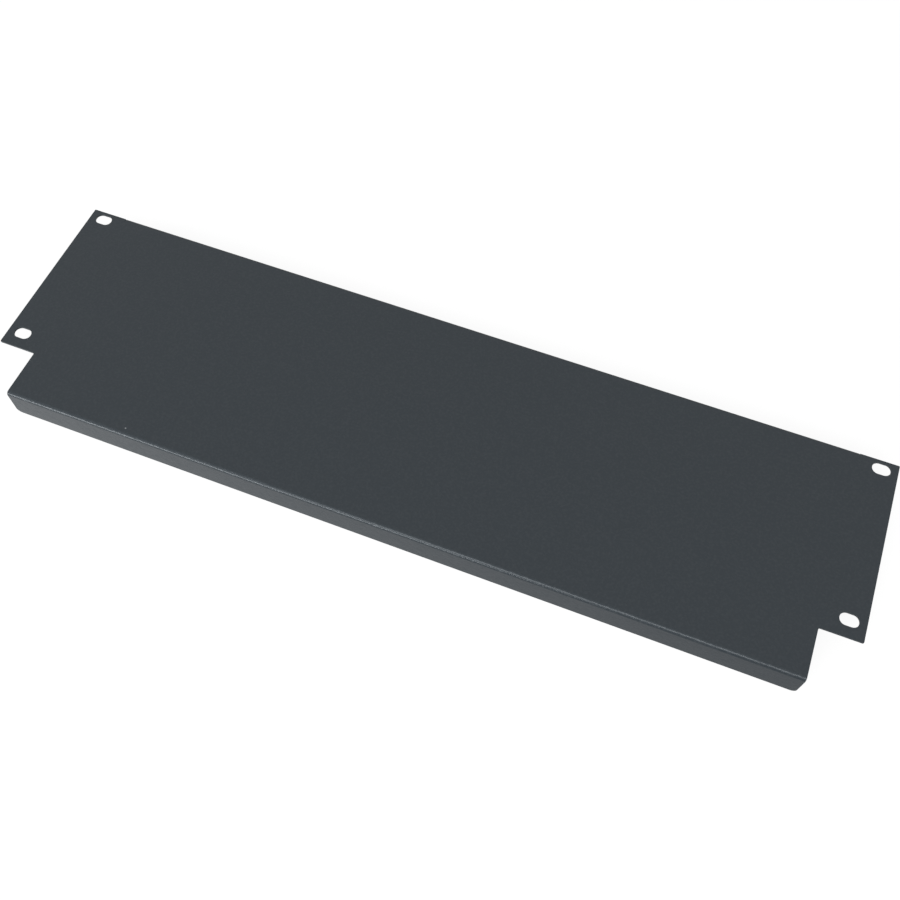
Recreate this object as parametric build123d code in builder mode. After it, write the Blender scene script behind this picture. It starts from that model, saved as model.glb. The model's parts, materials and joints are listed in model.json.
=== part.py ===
from build123d import *
import os

# Rack faceplate: one steel sheet with a slotted ear at each end, turned back along its top
# and its bottom edge. X runs along the plate, Y towards its top edge and Z out of its face.
# The origin is midway between the flanges, level with their free edges.

# The sheet, in millimetres
sheet = 1.2  # thickness of the steel
inner_bend_radius = 1.0
flange_depth = 18.6  # from the front face to the flanges' free edges

# Along the plate, from each end inwards
panel_width = 482.6  # over both ears
slot_inset = 8.75  # to the slots' centres
ear_width = 21.05  # to the end of the top flange
lower_cut_width = 22.0  # to the narrower stretch below the ears

# Down the plate, from its top edge
ear_setback = 0.8  # from the top flange's outer face to the ears' top edge
slot_drop = 5.2  # on to the upper slots' centres
slot_spacing_y = 88.9  # on to the lower slots' centres
slot_foot = 9.3  # on to the ears' bottom edge
lower_cut_height = 28.3  # on to the bottom flange's outer face

# Mounting slots
slot_width = 6.9
slot_play = 3.0  # between the centres of a slot's round ends

# Slits that free the top fold from the ears
slit_width = 0.15
slit_overrun = 0.5  # past the line where the fold starts

# Rounded corners
flange_corner_radius = 3.0
ear_corner_radius = 0.5
notch_corner_radius = 1.0

# What follows from these sizes
top_flange_width = panel_width - 2 * ear_width
lower_width = panel_width - 2 * lower_cut_width
slot_spacing_x = panel_width - 2 * slot_inset
ear_height = slot_drop + slot_spacing_y + slot_foot
overall_height = ear_setback + ear_height + lower_cut_height
outer_bend_radius = inner_bend_radius + sheet
top_edge = overall_height / 2
ear_top = top_edge - ear_setback
ear_bottom = ear_top - ear_height
slit_end = top_edge - outer_bend_radius - slit_overrun
slot_centre_y = ear_top - slot_drop - slot_spacing_y / 2


def corner_edges(part, half_width, level_y):
    """The edges through the sheet at one height, at both ends of the plate."""
    edges = part.edges().filter_by(Axis.Z)
    places = [Vector(side * half_width, level_y, flange_depth - sheet / 2) for side in (-1, 1)]
    return ShapeList(edges.sort_by_distance(place)[0] for place in places)


with BuildPart() as faceplate:
    # The folded section, as long as the top flange
    with BuildSketch(Plane.YZ):
        with BuildLine():
            FilletPolyline(
                (-top_edge, 0),
                (-top_edge, flange_depth),
                (top_edge, flange_depth),
                (top_edge, 0),
                radius=outer_bend_radius,
            )
            offset(amount=sheet, side=Side.RIGHT)
        make_face()
    extrude(amount=top_flange_width / 2, both=True)

    # The ears, on a flat strip that stops short of the top fold
    with BuildSketch(Plane.XY.offset(flange_depth)):
        with Locations((0, ear_top)):
            Rectangle(panel_width, ear_height, align=(Align.CENTER, Align.MAX))
            Rectangle(
                top_flange_width + 2 * slit_width,
                ear_top - slit_end,
                align=(Align.CENTER, Align.MAX),
                mode=Mode.SUBTRACT,
            )
    extrude(amount=-sheet)

    # Below the ears the face and its flange are cut back to their narrower width
    with BuildSketch(Plane.XY):
        with Locations((0, ear_bottom)):
            Rectangle(panel_width, lower_cut_height, align=(Align.CENTER, Align.MAX))
            Rectangle(
                lower_width,
                lower_cut_height,
                align=(Align.CENTER, Align.MAX),
                mode=Mode.SUBTRACT,
            )
    extrude(amount=flange_depth, mode=Mode.SUBTRACT)

    # Mounting slots, long across the plate
    with BuildSketch(Plane.XY.offset(flange_depth)):
        with Locations((0, slot_centre_y)):
            with GridLocations(slot_spacing_x, slot_spacing_y, 2, 2):
                SlotCenterToCenter(slot_play, slot_width)
    extrude(amount=-sheet, mode=Mode.SUBTRACT)

    # Free corners of both flanges
    fillet(faceplate.edges().filter_by(Axis.Y).group_by(Axis.Z)[0], flange_corner_radius)

    # Outer corners of the ears, and the inner corners under them
    fillet(corner_edges(faceplate, panel_width / 2, ear_top), ear_corner_radius)
    fillet(corner_edges(faceplate, panel_width / 2, ear_bottom), ear_corner_radius)
    fillet(corner_edges(faceplate, lower_width / 2, ear_bottom), notch_corner_radius)

faceplate.part.label = "faceplate"

os.makedirs("parts", exist_ok=True)
export_step(faceplate.part, "parts/faceplate.step")
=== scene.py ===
import json
import math

import bmesh
import bpy
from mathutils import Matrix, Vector


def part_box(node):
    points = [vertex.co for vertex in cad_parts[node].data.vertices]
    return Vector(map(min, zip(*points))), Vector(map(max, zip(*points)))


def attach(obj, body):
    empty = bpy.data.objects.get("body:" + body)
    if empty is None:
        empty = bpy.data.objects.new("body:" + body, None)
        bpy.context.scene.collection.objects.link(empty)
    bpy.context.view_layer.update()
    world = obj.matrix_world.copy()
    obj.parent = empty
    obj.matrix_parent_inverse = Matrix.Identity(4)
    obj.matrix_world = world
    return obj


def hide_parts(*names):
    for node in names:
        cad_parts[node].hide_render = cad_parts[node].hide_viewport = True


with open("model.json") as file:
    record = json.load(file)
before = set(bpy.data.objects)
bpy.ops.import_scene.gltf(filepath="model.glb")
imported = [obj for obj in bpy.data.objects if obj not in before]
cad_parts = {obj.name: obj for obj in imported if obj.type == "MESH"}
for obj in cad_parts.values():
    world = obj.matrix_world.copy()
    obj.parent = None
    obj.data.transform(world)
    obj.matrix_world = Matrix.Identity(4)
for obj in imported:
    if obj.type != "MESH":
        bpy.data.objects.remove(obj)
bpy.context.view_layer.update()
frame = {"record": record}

mm = 0.001
low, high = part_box("faceplate")
slots = next(mount for mount in frame["record"]["mounts"] if mount["name"] == "rack_slots")
print("frame loaded, plate", [round(side / mm, 2) for side in high - low], "mm")

# The folded plate. Sizes are in millimetres; its length, height and depth come from the frame.
plateLook = {
    "sheet": 1.2,
    "foldRadius": 2.2,  # on the outside
    "foldSteps": 10,
    "earWidth": 21.05,  # beside the top flange
    "earSetback": 0.8,  # ears' top edge below the top fold
    "slitWidth": 0.15,
    "slitPastFold": 0.5,
    "lowerCutWidth": 22.0,
    "lowerCutHeight": 28.3,
    "flangeCorner": 3.0,
    "earCorner": 0.5,
    "notchCorner": 1.0,
    "cornerSteps": 8,
    "slotSides": 48,
    "punchLength": 4.8,
    "flatAngle": 0.5,  # degrees; a line that bends less is no fold
    "coatEdge": 0.1,  # how far the coat rounds a sheared edge
    "coatEdgeSteps": 3,
    "coatEdgeAngle": 50,  # degrees; edges that are sharper get it
    "smoothAngle": 35,
    "flatWeight": 100,  # how much large flat faces pull the shading straight
}

topEdge = high.y
faceZ = high.z
plateEnd = high.x
topFlangeEnd = plateEnd - plateLook["earWidth"] * mm
slitOuter = topFlangeEnd + plateLook["slitWidth"] * mm
lowerEnd = plateEnd - plateLook["lowerCutWidth"] * mm
earTop = topEdge - plateLook["earSetback"] * mm
earBottom = low.y + plateLook["lowerCutHeight"] * mm
slitFoot = topEdge - (plateLook["foldRadius"] + plateLook["slitPastFold"]) * mm


def startEditing(obj):
    if bpy.context.object and bpy.context.object.mode != "OBJECT":
        bpy.ops.object.mode_set(mode="OBJECT")
    bpy.ops.object.select_all(action="DESELECT")
    obj.select_set(True)
    bpy.context.view_layer.objects.active = obj
    bpy.ops.object.mode_set(mode="EDIT")
    bpy.ops.mesh.select_all(action="DESELECT")


def pick(obj, kind, wanted):
    # selects the vertices, edges or faces whose middle passes the test
    bpy.ops.mesh.select_mode(type={"verts": "VERT", "edges": "EDGE", "faces": "FACE"}[kind])
    bpy.ops.mesh.select_all(action="DESELECT")
    mesh = bmesh.from_edit_mesh(obj.data)
    for part in getattr(mesh, kind):
        if kind == "verts":
            middle = part.co.copy()
        elif kind == "edges":
            middle = (part.verts[0].co + part.verts[1].co) / 2
        else:
            middle = part.calc_center_median()
        if wanted(middle, part):
            part.select_set(True)
    mesh.select_flush_mode()
    bmesh.update_edit_mesh(obj.data)


def cutAcross(place, normal):
    bpy.ops.mesh.select_all(action="SELECT")
    bpy.ops.mesh.bisect(plane_co=place, plane_no=normal)
    bpy.ops.mesh.select_all(action="DESELECT")


def near(a, b, slack=1e-5):
    return abs(a - b) < slack


def applyModifier(obj, name):
    bpy.ops.object.mode_set(mode="OBJECT")
    bpy.context.view_layer.objects.active = obj
    bpy.ops.object.modifier_apply(modifier=name)


def roundCorners(obj, radius, wanted):
    pick(obj, "verts", wanted)
    bpy.ops.mesh.bevel(offset=radius * mm, segments=plateLook["cornerSteps"], affect="VERTICES")


def cutSheet():
    # the front skin as a flat blank: ears, slits and lower cut-outs
    bpy.ops.object.select_all(action="DESELECT")
    bpy.ops.mesh.primitive_plane_add(size=1, location=(0, 0, faceZ))
    sheet = bpy.context.object
    sheet.name = "faceplate_sheet"
    sheet.scale = (2 * plateEnd, 2 * topEdge, 1)
    bpy.ops.object.transform_apply(location=True, rotation=True, scale=True)
    startEditing(sheet)
    for end in (-1, 1):
        for width in (topFlangeEnd, slitOuter, lowerEnd):
            cutAcross((end * width, 0, faceZ), (1, 0, 0))
    for level in (earTop, slitFoot, earBottom):
        cutAcross((0, level, faceZ), (0, 1, 0))

    def waste(middle, face):
        side = abs(middle.x)
        aboveEar = side > topFlangeEnd and middle.y > earTop
        inSlit = topFlangeEnd < side < slitOuter and middle.y > slitFoot
        underEar = side > lowerEnd and middle.y < earBottom
        return aboveEar or inSlit or underEar

    pick(sheet, "faces", waste)
    bpy.ops.mesh.delete(type="FACE")
    return sheet


def foldFlanges(sheet):
    # both long edges are pulled down to flanges, then the sharp folds are rounded
    pick(sheet, "edges", lambda middle, edge: edge.is_boundary and near(abs(middle.y), topEdge))
    bpy.ops.mesh.extrude_region_move(TRANSFORM_OT_translate={"value": (0, 0, low.z - faceZ)})
    # the cut lines that bound nothing any more would stand in the way of the folds
    bpy.ops.mesh.select_all(action="SELECT")
    bpy.ops.mesh.dissolve_limited(angle_limit=math.radians(plateLook["flatAngle"]))
    pick(sheet, "edges", lambda middle, edge: near(abs(middle.y), topEdge) and near(middle.z, faceZ))
    bpy.ops.mesh.bevel(
        offset=plateLook["foldRadius"] * mm,
        segments=plateLook["foldSteps"],
        affect="EDGES",
        clamp_overlap=False,
    )
    roundCorners(
        sheet, plateLook["flangeCorner"],
        lambda middle, vert: near(middle.z, low.z) and len(vert.link_edges) == 2,
    )
    roundCorners(
        sheet, plateLook["earCorner"],
        lambda middle, vert: near(abs(middle.x), plateEnd),
    )
    roundCorners(
        sheet, plateLook["notchCorner"],
        lambda middle, vert: near(abs(middle.x), lowerEnd) and near(middle.y, earBottom),
    )
    bpy.ops.object.mode_set(mode="OBJECT")


def giveThickness(sheet):
    thick = sheet.modifiers.new("sheet", "SOLIDIFY")
    thick.thickness = plateLook["sheet"] * mm
    thick.offset = -1
    thick.use_even_offset = True
    applyModifier(sheet, "sheet")


def punchSlots(sheet):
    # one stadium punch, copied to the four places that the frame gives
    dims = slots["dims"]
    radius = dims["hole_r_mm"] * mm
    play = dims["slot_length_mm"] * mm - 2 * radius
    bpy.ops.object.select_all(action="DESELECT")
    bpy.ops.mesh.primitive_cylinder_add(
        vertices=plateLook["slotSides"], radius=radius, depth=plateLook["punchLength"] * mm,
        location=(0, 0, faceZ), rotation=(0, 0, math.pi / plateLook["slotSides"]),
    )
    punch = bpy.context.object
    bpy.ops.object.transform_apply(location=True, rotation=True, scale=True)
    startEditing(punch)
    for end in (-1, 1):
        pick(punch, "verts", lambda middle, vert: end * middle.x > 0)
        bpy.ops.transform.translate(value=(end * play / 2, 0, 0))
    bpy.ops.object.mode_set(mode="OBJECT")
    middleY = slots["pos_m"][1]
    for column in (-1, 1):
        for row in (-1, 1):
            tool = punch.copy()
            tool.data = punch.data.copy()
            bpy.context.collection.objects.link(tool)
            tool.location = (
                column * dims["spacing_x_mm"] * mm / 2,
                middleY + row * dims["spacing_y_mm"] * mm / 2,
                0,
            )
            bpy.context.view_layer.update()
            cut = sheet.modifiers.new("slot", "BOOLEAN")
            cut.operation = "DIFFERENCE"
            cut.object = tool
            cut.solver = "EXACT"
            applyModifier(sheet, "slot")
            bpy.data.objects.remove(tool)
    bpy.data.objects.remove(punch)


def coatEdges(sheet):
    # the coat rounds every sheared edge a little
    edge = sheet.modifiers.new("coat", "BEVEL")
    edge.width = plateLook["coatEdge"] * mm
    edge.segments = plateLook["coatEdgeSteps"]
    edge.limit_method = "ANGLE"
    edge.angle_limit = math.radians(plateLook["coatEdgeAngle"])
    edge.harden_normals = False
    applyModifier(sheet, "coat")
    bpy.ops.object.select_all(action="DESELECT")
    sheet.select_set(True)
    bpy.context.view_layer.objects.active = sheet
    bpy.ops.object.shade_smooth_by_angle(angle=math.radians(plateLook["smoothAngle"]))
    weigh = sheet.modifiers.new("normals", "WEIGHTED_NORMAL")
    weigh.keep_sharp = True
    weigh.weight = plateLook["flatWeight"]
    applyModifier(sheet, "normals")


def buildPlate():
    sheet = cutSheet()
    print("blank cut,", len(sheet.data.vertices), "vertices")
    foldFlanges(sheet)
    print("flanges folded,", len(sheet.data.vertices), "vertices")
    giveThickness(sheet)
    punchSlots(sheet)
    coatEdges(sheet)
    print("plate finished,", len(sheet.data.polygons), "faces")
    return sheet


# Powder coat: dark slate grey, satin, with a fine grain. Bumps are in millimetres.
coatLook = {
    "colour": (0.0268, 0.0338, 0.0403),
    "colourPale": (0.0343, 0.0413, 0.0478),  # on the crests of the grain
    "roughness": 0.32,
    "roughnessSpread": 0.04,
    "ior": 1.47,
    "sheenTint": (0.90, 0.96, 1.0),
    "grainSize": 1.3,  # about from crest to crest
    "grainHeight": 0.08,
    "peelSize": 2.6,
    "peelHeight": 0.05,
    "bumpDetail": 2.0,
    "bumpRoughness": 0.55,
    "crestFrom": 0.45,  # height, 0 to 1, where a crest begins
    "crestTo": 0.7,
    "fleckAt": (-148.0, -62.0, 18.6),  # a small pale spot in the coat, near the bottom fold
    "fleckRadius": 0.55,
    "fleckCore": 0.275,  # radius inside which it is at full colour
    "fleckColour": (0.26, 0.27, 0.28),
}


def grainGroup():
    # bumps of one size: a height, and a mask of its crests
    group = bpy.data.node_groups.new("coatGrain", "ShaderNodeTree")
    group.interface.new_socket("Size", in_out="INPUT", socket_type="NodeSocketFloat")
    group.interface.new_socket("Height", in_out="INPUT", socket_type="NodeSocketFloat")
    group.interface.new_socket("Height", in_out="OUTPUT", socket_type="NodeSocketFloat")
    group.interface.new_socket("Crest", in_out="OUTPUT", socket_type="NodeSocketFloat")
    nodes, links = group.nodes, group.links
    entry = nodes.new("NodeGroupInput")
    result = nodes.new("NodeGroupOutput")
    place = nodes.new("ShaderNodeTexCoord")
    scale = nodes.new("ShaderNodeMath")
    scale.operation = "DIVIDE"
    scale.inputs[0].default_value = 1 / mm
    noise = nodes.new("ShaderNodeTexNoise")
    noise.inputs["Detail"].default_value = coatLook["bumpDetail"]
    noise.inputs["Roughness"].default_value = coatLook["bumpRoughness"]
    lift = nodes.new("ShaderNodeMath")
    lift.operation = "MULTIPLY"
    crest = nodes.new("ShaderNodeMapRange")
    crest.inputs["From Min"].default_value = coatLook["crestFrom"]
    crest.inputs["From Max"].default_value = coatLook["crestTo"]
    links.new(entry.outputs["Size"], scale.inputs[1])
    links.new(place.outputs["Object"], noise.inputs["Vector"])
    links.new(scale.outputs[0], noise.inputs["Scale"])
    links.new(noise.outputs["Fac"], lift.inputs[0])
    links.new(entry.outputs["Height"], lift.inputs[1])
    links.new(noise.outputs["Fac"], crest.inputs["Value"])
    links.new(lift.outputs[0], result.inputs["Height"])
    links.new(crest.outputs["Result"], result.inputs["Crest"])
    return group


def powderCoat():
    material = bpy.data.materials.new("slatePowderCoat")
    material.use_nodes = True
    nodes, links = material.node_tree.nodes, material.node_tree.links
    shader = nodes["Principled BSDF"]
    shader.inputs["IOR"].default_value = coatLook["ior"]
    shader.inputs["Specular Tint"].default_value = (*coatLook["sheenTint"], 1)
    group = grainGroup()
    fine = nodes.new("ShaderNodeGroup")
    fine.node_tree = group
    fine.inputs["Size"].default_value = coatLook["grainSize"]
    fine.inputs["Height"].default_value = coatLook["grainHeight"]
    peel = nodes.new("ShaderNodeGroup")
    peel.node_tree = group
    peel.inputs["Size"].default_value = coatLook["peelSize"]
    peel.inputs["Height"].default_value = coatLook["peelHeight"]

    # colour: crests of the grain a touch paler
    tint = nodes.new("ShaderNodeMix")
    tint.data_type = "RGBA"
    tint.inputs["A"].default_value = (*coatLook["colour"], 1)
    tint.inputs["B"].default_value = (*coatLook["colourPale"], 1)
    links.new(fine.outputs["Crest"], tint.inputs["Factor"])

    # one pale fleck, soft at its rim
    place = nodes.new("ShaderNodeTexCoord")
    reach = nodes.new("ShaderNodeVectorMath")
    reach.operation = "DISTANCE"
    reach.inputs[1].default_value = Vector(coatLook["fleckAt"]) * mm
    fleck = nodes.new("ShaderNodeMapRange")
    fleck.inputs["From Min"].default_value = coatLook["fleckRadius"] * mm
    fleck.inputs["From Max"].default_value = coatLook["fleckCore"] * mm
    specked = nodes.new("ShaderNodeMix")
    specked.data_type = "RGBA"
    specked.inputs["B"].default_value = (*coatLook["fleckColour"], 1)
    links.new(place.outputs["Object"], reach.inputs[0])
    links.new(reach.outputs["Value"], fleck.inputs["Value"])
    links.new(fleck.outputs["Result"], specked.inputs["Factor"])
    links.new(tint.outputs["Result"], specked.inputs["A"])
    links.new(specked.outputs["Result"], shader.inputs["Base Color"])

    # roughness varies with the crests of the peel, the coarser bumps
    satin = nodes.new("ShaderNodeMapRange")
    satin.inputs["To Min"].default_value = coatLook["roughness"] - coatLook["roughnessSpread"]
    satin.inputs["To Max"].default_value = coatLook["roughness"] + coatLook["roughnessSpread"]
    links.new(peel.outputs["Crest"], satin.inputs["Value"])
    links.new(satin.outputs["Result"], shader.inputs["Roughness"])

    # both sizes of bump, in millimetres, add up to one height
    add = nodes.new("ShaderNodeMath")
    add.operation = "ADD"
    links.new(fine.outputs["Height"], add.inputs[0])
    links.new(peel.outputs["Height"], add.inputs[1])
    bump = nodes.new("ShaderNodeBump")
    bump.inputs["Distance"].default_value = mm
    links.new(add.outputs[0], bump.inputs["Height"])
    links.new(bump.outputs["Normal"], shader.inputs["Normal"])
    return material


plate = buildPlate()
plate.data.materials.clear()
plate.data.materials.append(powderCoat())
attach(plate, "root")
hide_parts("faceplate")
print("plate coated and riding on the frame")

# Room: pale floor, white surroundings, a low wide softbox at the front left and one higher up in front
roomLook = {
    "floorSide": 8.0,
    "floorColour": (0.2, 0.2, 0.2),
    "floorGlow": 0.88,  # lifts the lit floor to white for the camera
    "floorMirror": 0.64,  # most that glossy surfaces see of the floor's glow
    "floorFade": (-0.8, 2.9, 0.0),  # the glow fades to the front and to the right, per metre
    "worldLight": 0.5,
    "worldGlossy": 0.77,  # what glossy surfaces see of it, high up
    "worldLow": 0.15,  # and at the floor's level
    "worldRise": 0.5,  # height, on a sphere of radius 1, where it is as bright as high up
}
lampLook = {
    "lowSoftbox": {"turn": -33, "height": 6.8, "away": 1.3, "size": (1.5, 0.31), "watts": 14.0},
    "highSoftbox": {"turn": 6, "height": 43, "away": 1.3, "size": (1.05, 0.45), "watts": 7.0},
}


def makeFloor():
    bpy.ops.object.select_all(action="DESELECT")
    bpy.ops.mesh.primitive_plane_add(size=roomLook["floorSide"], location=(0, 0, low.z))
    floor = bpy.context.object
    floor.name = "floor"
    material = bpy.data.materials.new("paleFloor")
    material.use_nodes = True
    nodes, links = material.node_tree.nodes, material.node_tree.links
    nodes.remove(nodes["Principled BSDF"])
    result = nodes["Material Output"]
    matt = nodes.new("ShaderNodeBsdfDiffuse")
    matt.inputs["Color"].default_value = (*roomLook["floorColour"], 1)
    glow = nodes.new("ShaderNodeEmission")
    ray = nodes.new("ShaderNodeLightPath")

    # glow for reflections: full behind the plate, less in front of it and to its right
    place = nodes.new("ShaderNodeTexCoord")
    along = nodes.new("ShaderNodeVectorMath")
    along.operation = "DOT_PRODUCT"
    along.inputs[1].default_value = roomLook["floorFade"]
    fade = nodes.new("ShaderNodeMapRange")
    fade.inputs["From Min"].default_value = -roomLook["floorMirror"]
    fade.inputs["From Max"].default_value = 0.0
    fade.inputs["To Max"].default_value = roomLook["floorMirror"]
    mirrored = nodes.new("ShaderNodeMath")
    mirrored.operation = "ADD"
    mirrored.use_clamp = True
    faded = nodes.new("ShaderNodeMath")
    faded.operation = "MULTIPLY"
    links.new(place.outputs["Object"], along.inputs[0])
    links.new(along.outputs["Value"], fade.inputs["Value"])
    links.new(ray.outputs["Is Glossy Ray"], mirrored.inputs[0])
    links.new(ray.outputs["Is Transmission Ray"], mirrored.inputs[1])
    links.new(mirrored.outputs[0], faded.inputs[0])
    links.new(fade.outputs["Result"], faded.inputs[1])

    # plus the glow that the camera sees
    strength = nodes.new("ShaderNodeMath")
    strength.operation = "MULTIPLY_ADD"
    strength.inputs[1].default_value = roomLook["floorGlow"]
    both = nodes.new("ShaderNodeAddShader")
    links.new(ray.outputs["Is Camera Ray"], strength.inputs[0])
    links.new(faded.outputs[0], strength.inputs[2])
    links.new(strength.outputs[0], glow.inputs["Strength"])
    links.new(matt.outputs[0], both.inputs[0])
    links.new(glow.outputs[0], both.inputs[1])
    links.new(both.outputs[0], result.inputs["Surface"])
    floor.data.materials.append(material)


def makeWorld():
    world = bpy.data.worlds.new("studio")
    bpy.context.scene.world = world
    world.use_nodes = True
    nodes, links = world.node_tree.nodes, world.node_tree.links
    background = nodes["Background"]
    background.inputs["Color"].default_value = (1, 1, 1, 1)
    ray = nodes.new("ShaderNodeLightPath")
    # walls of the room get dimmer towards the floor
    place = nodes.new("ShaderNodeTexCoord")
    upwards = nodes.new("ShaderNodeSeparateXYZ")
    walls = nodes.new("ShaderNodeMapRange")
    walls.inputs["From Max"].default_value = roomLook["worldRise"]
    walls.inputs["To Min"].default_value = roomLook["worldLow"]
    walls.inputs["To Max"].default_value = roomLook["worldGlossy"]
    glossy = nodes.new("ShaderNodeMix")
    glossy.inputs["A"].default_value = roomLook["worldLight"]
    seen = nodes.new("ShaderNodeMix")
    seen.inputs["B"].default_value = 1.0
    links.new(place.outputs["Generated"], upwards.inputs[0])
    links.new(upwards.outputs["Z"], walls.inputs["Value"])
    links.new(walls.outputs["Result"], glossy.inputs["B"])
    links.new(ray.outputs["Is Glossy Ray"], glossy.inputs["Factor"])
    links.new(ray.outputs["Is Camera Ray"], seen.inputs["Factor"])
    links.new(glossy.outputs["Result"], seen.inputs["A"])
    links.new(seen.outputs["Result"], background.inputs["Strength"])


def makeLamp(name, look):
    # turn runs from the plate's front to its right, height from the floor, both in degrees
    data = bpy.data.lights.new(name, "AREA")
    data.shape = "RECTANGLE"
    data.size, data.size_y = look["size"]
    data.energy = look["watts"]
    lamp = bpy.data.objects.new(name, data)
    bpy.context.collection.objects.link(lamp)
    turn, height = math.radians(look["turn"]), math.radians(look["height"])
    level = math.cos(height)
    outwards = Vector((math.sin(turn) * level, -math.cos(turn) * level, math.sin(height)))
    lamp.location = outwards * look["away"]
    lamp.rotation_euler = (-outwards).to_track_quat("-Z", "Y").to_euler()


makeFloor()
makeWorld()
for lampName, look in lampLook.items():
    makeLamp(lampName, look)
print("room and lamps ready")

# Camera: above the lower edge and to the right of the middle, looking down
cameraLook = {
    "at": (112.424, -263.163, 503.02),  # millimetres
    "aim": (17.823, -11.44, 18.6),
    "roll": 0.666,  # degrees
    "lens": 41.996,
    "sensor": 36.0,
    "nearest": 0.01,  # metres
    "furthest": 50,
}


def makeCamera():
    data = bpy.data.cameras.new("camera")
    data.lens = cameraLook["lens"]
    data.sensor_width = cameraLook["sensor"]
    data.clip_start = cameraLook["nearest"]
    data.clip_end = cameraLook["furthest"]
    camera = bpy.data.objects.new("camera", data)
    bpy.context.collection.objects.link(camera)
    place = Vector(cameraLook["at"]) * mm
    aim = Vector(cameraLook["aim"]) * mm
    turn = (aim - place).to_track_quat("-Z", "Y").to_matrix().to_4x4()
    camera.location = place
    camera.rotation_mode = "XYZ"
    camera.rotation_euler = turn.to_euler()
    camera.rotation_euler.rotate_axis("Z", math.radians(cameraLook["roll"]))
    bpy.context.scene.camera = camera


makeCamera()
bpy.context.scene.view_settings.view_transform = "Standard"
print("camera placed")
